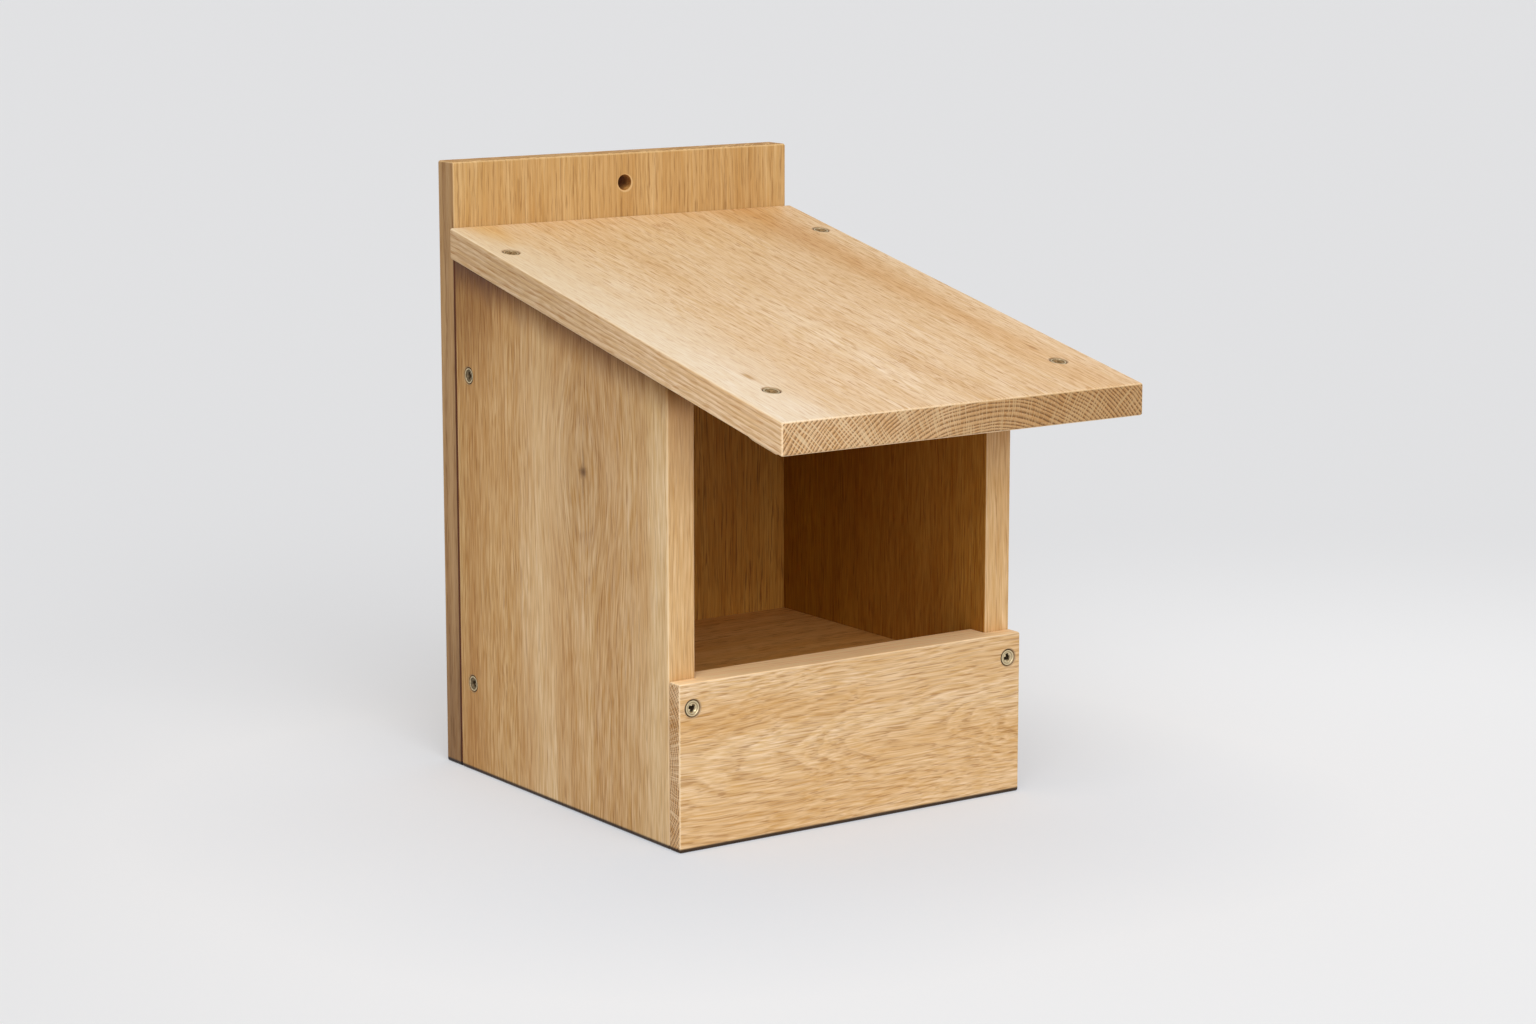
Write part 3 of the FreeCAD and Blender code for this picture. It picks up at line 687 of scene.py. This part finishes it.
def finishBoard(board):
    material, tree = newMaterial("planedOak_" + board["node"])
    turn = tuple(math.radians(angle) for angle in board["logTurn"])
    place = addNode(tree, "TexCoord").outputs
    log = addNode(
        tree, "Mapping",
        {"Vector": place["Object"], "Location": Vector(board["pith"]) * mm, "Rotation": turn,
         "Scale": (mm, mm, mm)}, vector_type="TEXTURE")
    facing = addNode(
        tree, "VectorRotate", {"Vector": place["Normal"], "Rotation": turn},
        rotation_type="EULER_XYZ", invert=True)
    wood = {**board["figure"], "Normal": facing}
    for label, text in {**oakColours, **board.get("colours", {})}.items():
        wood[label] = hexToLinear(text)

    # the board's narrow edges show the rings as long lines, and a knot draws them together
    sideways = addNode(tree, "VectorMath", {0: place["Normal"], 1: board["edges"]}, operation="DOT_PRODUCT")
    sideways = addNode(tree, "Math", {0: sideways}, operation="ABSOLUTE")
    ringShow = addNode(
        tree, "MapRange",
        {"Value": sideways, fromLimits: oakFinish["facing"],
         toLimits: (board["ringShow"], board["edgeShow"])})
    knot = board.get("knot")
    if knot:
        parted = addNode(
            tree, "Group", {"Log": log, "Centre": knot["centre"], **knot["sizes"]},
            node_tree=oakKnot).outputs
        log = parted["Log"]
        wood["Swell"] = parted["Swell"]
        ringShow = addNode(
            tree, "Math", {0: parted["Eye"], 1: knot["ringShow"], 2: ringShow}, operation="MULTIPLY_ADD")
    figure = addNode(tree, "Group", {**wood, "Log": log, "Ring show": ringShow}, node_tree=oakFigure).outputs
    colour = figure["Color"]
    rough = figure["Roughness"]
    if knot:
        colour = addNode(
            tree, "Mix", {"Factor": parted["Dark"], "A": colour, "B": hexToLinear(knotLook["colour"])},
            data_type="RGBA")

    # painted shade in the gap round each screw head
    headShades = [{"round": seat["head"] / mm, **paintedHeadShade}
              for node in board.get("screws", ()) for seat in seatsOf[node]]
    for glaze in board["glazes"] + headShades:
        mask = glazeMask(tree, place, log, glaze)
        if "rougher" in glaze:
            rough = addNode(tree, "Math", {0: mask, 1: glaze["rougher"], 2: rough}, operation="MULTIPLY_ADD")
        colour = addNode(
            tree, "Mix", {"Factor": mask, "A": colour, "B": hexToLinear(glaze["colour"])},
            data_type="RGBA", blend_type=glaze.get("blend", "MULTIPLY"))
    bump = addNode(
        tree, "Bump",
        {"Strength": oakFinish["bumpStrength"], "Distance": oakFinish["bumpDepth"] * mm,
         "Height": figure["Height"]})
    surface = addNode(
        tree, "BsdfPrincipled",
        {"Base Color": colour, "Roughness": rough, "Specular IOR Level": oakFinish["sheen"], "Normal": bump})
    addNode(tree, "OutputMaterial", {"Surface": surface})
    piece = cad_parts[board["node"]]
    piece.data.materials.clear()
    piece.data.materials.append(material)


oakBoards = (roofBoard, hangingBoard, leftSide, rightSide, frontBoard, backPanel, floorBoard, roofBatten)
for oakBoard in oakBoards:
    finishBoard(oakBoard)
print("oak finished on", len(oakBoards), "boards")

# Countersunk wood screws: turned, dished head with a cross recess, plain neck, rolled thread, gimlet point
woodScrew = {
    "Dish radius": 2.8,
    "Dish depth": 0.28,
    "Rim inside": 3.1,
    "Rim outside": 3.7,
    "Head radius": 4.0,
    "Head ease": 0.3,
    "Head rim": 0.5,
    "Cone end": 2.55,
    "Shank radius": 1.95,
    "Core radius": 1.35,
    "Neck": 8.0,
    "Neck end": 9.0,
    "Point": 5.0,
    "Thread pitch": 1.8,
    "Recess arm": 5.4,
    "Recess width": 1.7,
    "Recess depth": 2.4,
    "Recess cone": 4.6,                  # radius of its cone, one recess depth above the head
    "Recess tip": 0.4,
}
screwMaking = {
    "sides": 48,
    "threadSteps": 20,                   # for each turn
    "threadCorners": 4,
    "threadOnPoint": 0.4,                # share of the point that the thread runs onto
    "sharpAngle": 30,                    # degrees
    "seed": 4,
}
screwDust = {                            # colour of the dust on the heads and how much of it lies there: partly painted shade on the left side's dark heads and a painted reflection of the oak on the roof's
    "front_screws": ("#7A6042", 0.1),
    "left_side_screws": ("#5C4A34", 0.8),
    "right_side_screws": ("#7A6042", 0.3),
    "hanging_board_screws": ("#7A6042", 0.3),
    "roof_rear_screws": ("#A68A62", 1.0),
    "roof_front_screws": ("#A68A62", 1.0),
}


def buildScrewTree(labels, making):
    tree = newGroup(
        "countersunkScrews", "GeometryNodeTree",
        {"Geometry": ("Seats",), "Float": (*labels, "Length", "Dust share"), "Color": ("Dust",),
         "Int": ("Seed",), "Material": ("Material",)}, {"Geometry": ("Screws",)})
    given = addNode(tree, "NodeGroupInput").outputs
    pointStart = addNode(tree, "Math", {0: given["Length"], 1: given["Point"]}, operation="SUBTRACT")

    # turned outline, from the middle of the head to the point: radius, depth below the head's top
    outline = [(0.0, given["Dish depth"]), (given["Dish radius"], given["Dish depth"]),
               (given["Rim inside"], 0.0), (given["Rim outside"], 0.0),
               (given["Head radius"], given["Head ease"]), (given["Head radius"], given["Head rim"]),
               (given["Shank radius"], given["Cone end"]), (given["Shank radius"], given["Neck"]),
               (given["Core radius"], given["Neck end"]), (given["Core radius"], pointStart),
               (0.0, given["Length"])]
    index = addNode(tree, "GeometryNodeInputIndex")
    picked = addNode(tree, "GeometryNodeIndexSwitch", {"Index": index}, data_type="VECTOR")
    while len(picked.index_switch_items) < len(outline):
        picked.index_switch_items.new()
    for i, (radius, depth) in enumerate(outline):
        inward = addNode(tree, "Math", {0: radius, 1: given["Head radius"]}, operation="SUBTRACT")
        spot = addNode(tree, "CombineXYZ", {"X": inward, "Y": depth})
        tree.links.new(spot.outputs[0], picked.inputs[i + 1])
    line = addNode(tree, "GeometryNodeCurvePrimitiveLine")
    stepped = addNode(tree, "GeometryNodeResampleCurve", {"Curve": line, "Count": len(outline)})
    profile = addNode(tree, "GeometryNodeSetPosition", {"Geometry": stepped, "Position": picked})
    hoop = addNode(
        tree, "GeometryNodeCurvePrimitiveCircle",
        {"Resolution": making["sides"], "Radius": given["Head radius"]})
    upright = addNode(tree, "GeometryNodeSetCurveNormal", {"Curve": hoop}, mode="Z_UP")
    turned = addNode(tree, "GeometryNodeCurveToMesh", {"Curve": upright, "Profile Curve": profile})
    body = addNode(tree, "GeometryNodeMergeByDistance", {"Geometry": turned, "Distance": weldGap})

    # cross recess: two crossed slots, cut down to a cone
    twice = addNode(tree, "Math", {0: given["Recess depth"], 1: 2.0}, operation="MULTIPLY")
    slots = []
    for long, wide in (("Recess arm", "Recess width"), ("Recess width", "Recess arm")):
        block = addNode(tree, "CombineXYZ", {"X": given[long], "Y": given[wide], "Z": twice})
        slots.append(addNode(tree, "GeometryNodeMeshCube", {"Size": block}))
    cross = addNode(tree, "GeometryNodeMeshBoolean", {"Mesh 2": slots}, operation="UNION", solver="EXACT")
    cone = addNode(
        tree, "GeometryNodeMeshCone",
        {"Vertices": making["sides"], "Radius Top": given["Recess cone"],
         "Radius Bottom": given["Recess tip"], "Depth": twice})
    deep = addNode(tree, "Math", {0: given["Recess depth"], 1: -1.0}, operation="MULTIPLY")
    dive = addNode(tree, "CombineXYZ", {"Z": deep})
    cone = addNode(tree, "GeometryNodeTransform", {"Geometry": cone, "Translation": dive})
    recess = addNode(
        tree, "GeometryNodeMeshBoolean", {"Mesh 2": [cross, cone]}, operation="INTERSECT", solver="EXACT")
    cut = addNode(
        tree, "GeometryNodeMeshBoolean", {"Mesh 1": body, "Mesh 2": recess},
        operation="DIFFERENCE", solver="EXACT")
    cut = addNode(tree, "GeometryNodeMergeByDistance", {"Geometry": cut, "Distance": weldGap})

    # thread: a ridge wound round the core from the point to the neck
    onPoint = addNode(
        tree, "Math", {0: given["Point"], 1: making["threadOnPoint"], 2: pointStart},
        operation="MULTIPLY_ADD")
    threadRun = addNode(tree, "Math", {0: onPoint, 1: given["Neck end"]}, operation="SUBTRACT")
    turns = addNode(tree, "Math", {0: threadRun, 1: given["Thread pitch"]}, operation="DIVIDE")
    coil = addNode(
        tree, "GeometryNodeCurveSpiral",
        {"Resolution": making["threadSteps"], "Rotations": turns, "Start Radius": given["Core radius"],
         "End Radius": given["Core radius"], "Height": threadRun})
    ridge = addNode(tree, "Math", {0: given["Shank radius"], 1: given["Core radius"]}, operation="SUBTRACT")
    section = addNode(
        tree, "GeometryNodeCurvePrimitiveCircle", {"Resolution": making["threadCorners"], "Radius": ridge})
    thread = addNode(
        tree, "GeometryNodeCurveToMesh", {"Curve": coil, "Profile Curve": section, "Fill Caps": True})
    low = addNode(tree, "Math", {0: onPoint, 1: -1.0}, operation="MULTIPLY")
    sink = addNode(tree, "CombineXYZ", {"Z": low})
    thread = addNode(tree, "GeometryNodeTransform", {"Geometry": thread, "Translation": sink})
    screw = addNode(tree, "GeometryNodeJoinGeometry", {"Geometry": [cut, thread]})

    # smooth turned sides and sharp edges
    smooth = addNode(tree, "GeometryNodeSetShadeSmooth", {"Geometry": screw})
    bend = addNode(tree, "GeometryNodeInputMeshEdgeAngle")
    sharp = addNode(tree, "Math", {0: bend, 1: math.radians(making["sharpAngle"])}, operation="GREATER_THAN")
    screw = addNode(
        tree, "GeometryNodeSetShadeSmooth", {"Geometry": smooth, "Selection": sharp, "Shade Smooth": False},
        domain="EDGE")

    # each point's place on the screw, and the dust and painted light on it, kept for the plating
    own = addNode(tree, "GeometryNodeInputPosition")
    for name, value, valueType in (("screwPlace", own, "FLOAT_VECTOR"),
                                   ("screwDust", given["Dust"], "FLOAT_COLOR"),
                                   ("screwDustShare", given["Dust share"], "FLOAT")):
        screw = addNode(
            tree, "GeometryNodeStoreNamedAttribute", {"Geometry": screw, "Name": name, "Value": value},
            data_type=valueType, domain="POINT")

    # one screw on each seat, its head along the seat's axis and its recess turned by chance
    axis = addNode(tree, "GeometryNodeInputNamedAttribute", {"Name": "axis"}, data_type="FLOAT_VECTOR")
    stand = addNode(tree, "FunctionNodeAlignRotationToVector", {"Vector": axis}, axis="Z")
    placed = addNode(
        tree, "GeometryNodeInstanceOnPoints",
        {"Points": given["Seats"], "Instance": screw, "Rotation": stand})
    chance = addNode(tree, "FunctionNodeRandomValue", {"Seed": given["Seed"]}, data_type="FLOAT")
    quarter = addNode(tree, "Math", {0: chance, 1: math.pi / 2}, operation="MULTIPLY")
    spin = addNode(tree, "CombineXYZ", {"Z": quarter})
    spun = addNode(tree, "GeometryNodeRotateInstances", {"Instances": placed, "Rotation": spin})
    real = addNode(tree, "GeometryNodeRealizeInstances", {"Geometry": spun})
    coated = addNode(tree, "GeometryNodeSetMaterial", {"Geometry": real, "Material": given["Material"]})
    addNode(tree, "NodeGroupOutput", {"Screws": coated})
    return tree


# Zinc-plated steel: bright grey metal with a warm cast that is a painted reflection of the oak, turned rings on
# the head, dust on its dish that is partly painted shade and reflection, and dull grime with painted shade in the
# recess and round the rim
zincSteel = {
    # warm cast: a painted reflection of the oak
    "bright": "#DECBA4",
    "grimeAndShade": "#33291D",
    "dustAndPaintedLightReach": (3.7, 2.7),             # distance from the axis, in from which dust and painted light cover the dish
    "dustAndPaintedLightRag": 1.2,
    "recessDustAndPaintedLight": 0.75,                  # share of the dust and painted light that also lies in the recess
    "ringSpacing": 0.35,                 # turning marks, drawn coarser than they are so that they show
    "ringFiner": 1.0,
    "cloudSize": 1.25,
    "cloudFiner": 3.0,
    "recessGrimeAndShade": (0.35, 1.4),          # depth below the head's top
    "rimGrimeAndShade": (3.5, 3.95),             # distance from the axis
    "dishGrimeAndShade": (0.30, 0.05),           # distance from the dish's edge
    "dishShare": 0.5,
    "roughness": (0.26, 0.44),
    "rougherGrime": 0.4,
    "bumpStrength": 0.25,
    "bumpDepth": 0.05,
}


def buildZinc(look, dishEdge):
    material, tree = newMaterial("zincPlatedSteel")
    place = addNode(tree, "Attribute", attribute_name="screwPlace").outputs["Vector"]
    dustAndPaintedLightColour = addNode(tree, "Attribute", attribute_name="screwDust").outputs["Color"]
    dustAndPaintedLightShare = addNode(tree, "Attribute", attribute_name="screwDustShare").outputs["Fac"]
    own = addNode(tree, "VectorMath", {0: place, "Scale": 1 / mm}, operation="SCALE")
    parts = addNode(tree, "SeparateXYZ", {0: own}).outputs
    depth = addNode(tree, "Math", {0: parts["Z"], 1: -1.0}, operation="MULTIPLY")
    flat = addNode(tree, "VectorMath", {0: own, 1: (1, 1, 0)}, operation="MULTIPLY")
    radius = addNode(tree, "VectorMath", {0: flat}, operation="LENGTH")
    offEdge = addNode(tree, "Math", {0: radius, 1: dishEdge}, operation="SUBTRACT")
    offEdge = addNode(tree, "Math", {0: offEdge}, operation="ABSOLUTE")
    cloud = addNode(
        tree, "TexNoise", {"Vector": own, "Scale": 1 / look["cloudSize"], "Detail": look["cloudFiner"]})

    # where dust and painted light, and grime and painted shade lie
    swing = addNode(tree, "MapRange", {"Value": cloud, toLimits: (-look["dustAndPaintedLightRag"], look["dustAndPaintedLightRag"])})
    rag = addNode(tree, "Math", {0: radius, 1: swing}, operation="ADD")
    dustAndPaintedLight = addNode(
        tree, "MapRange", {"Value": rag, fromLimits: look["dustAndPaintedLightReach"], "To Max": dustAndPaintedLightShare}, **softly)
    recess = addNode(tree, "MapRange", {"Value": depth, fromLimits: look["recessGrimeAndShade"]}, **softly)
    grimeAndShade = 0.0
    for value, span, share in ((radius, look["rimGrimeAndShade"], 1.0),
                               (offEdge, look["dishGrimeAndShade"], look["dishShare"])):
        lies = addNode(tree, "MapRange", {"Value": value, fromLimits: span, "To Max": share}, **softly)
        grimeAndShade = addNode(tree, "Math", {0: lies, 1: grimeAndShade}, operation="MAXIMUM")

    # colour, roughness and turning marks
    filled = addNode(tree, "Math", {0: dustAndPaintedLightShare, 1: look["recessDustAndPaintedLight"]}, operation="MULTIPLY")
    pit = addNode(
        tree, "Mix", {"Factor": filled, "A": hexToLinear(look["grimeAndShade"]), "B": dustAndPaintedLightColour}, data_type="RGBA")
    colour = hexToLinear(look["bright"])
    for mask, coat in ((dustAndPaintedLight, dustAndPaintedLightColour), (recess, pit), (grimeAndShade, hexToLinear(look["grimeAndShade"]))):
        colour = addNode(tree, "Mix", {"Factor": mask, "A": colour, "B": coat}, data_type="RGBA")
    dull = addNode(tree, "Math", {0: grimeAndShade, 1: dustAndPaintedLight}, operation="MAXIMUM")
    dull = addNode(tree, "Math", {0: dull, 1: recess}, operation="MAXIMUM")
    rough = addNode(tree, "MapRange", {"Value": cloud, fromLimits: noiseSpread, toLimits: look["roughness"]})
    rough = addNode(tree, "Math", {0: dull, 1: look["rougherGrime"], 2: rough}, operation="MULTIPLY_ADD")
    ringed = addNode(tree, "Math", {0: radius, 1: look["ringSpacing"]}, operation="DIVIDE")
    rings = addNode(
        tree, "TexNoise", {"W": ringed, "Scale": 1.0, "Detail": look["ringFiner"]}, noise_dimensions="1D")
    bump = addNode(
        tree, "Bump",
        {"Strength": look["bumpStrength"], "Distance": look["bumpDepth"] * mm, "Height": rings})
    steel = addNode(
        tree, "BsdfPrincipled", {"Base Color": colour, "Metallic": 1.0, "Roughness": rough, "Normal": bump})
    addNode(tree, "OutputMaterial", {"Surface": steel})
    return material


def driveScrews(node, tree, sizes, material, seed):
    seats = seatsOf[node]
    mesh = bpy.data.meshes.new(node + "Seats")
    mesh.from_pydata([seat["head"] for seat in seats], [], [])
    axes = mesh.attributes.new("axis", "FLOAT_VECTOR", "POINT")
    for point, seat in zip(axes.data, seats):
        point.vector = seat["axis"]
    seatObject = bpy.data.objects.new(node + "Seats", mesh)
    bpy.context.scene.collection.objects.link(seatObject)
    modifier = seatObject.modifiers.new("screws", "NODES")
    modifier.node_group = tree
    dustAndPaintedLightColour, dustAndPaintedLightShare = screwDust[node]
    values = {label: size * mm for label, size in sizes.items()}
    values.update({"Length": seats[0]["length"], "Dust": hexToLinear(dustAndPaintedLightColour), "Dust share": dustAndPaintedLightShare,
                   "Seed": seed, "Material": material})
    for socket in tree.interface.items_tree:
        if socket.name in values:
            modifier[socket.identifier] = values[socket.name]
    evaluated = seatObject.evaluated_get(bpy.context.evaluated_depsgraph_get())
    plain = bpy.data.meshes.new_from_object(evaluated)
    plain.name = node + "Turned"
    seatObject.modifiers.remove(modifier)
    bpy.data.objects.remove(seatObject)
    piece = bpy.data.objects.new(node + "_turned", plain)
    bpy.context.scene.collection.objects.link(piece)
    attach(piece, "root")
    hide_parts(node)
    return len(seats)


screwTree = buildScrewTree(woodScrew, screwMaking)
zinc = buildZinc(zincSteel, woodScrew["Dish radius"])
driven = 0
for i, node in enumerate(screwNodes):
    driven += driveScrews(node, screwTree, woodScrew, zinc, screwMaking["seed"] + i)
print("screws driven:", driven)
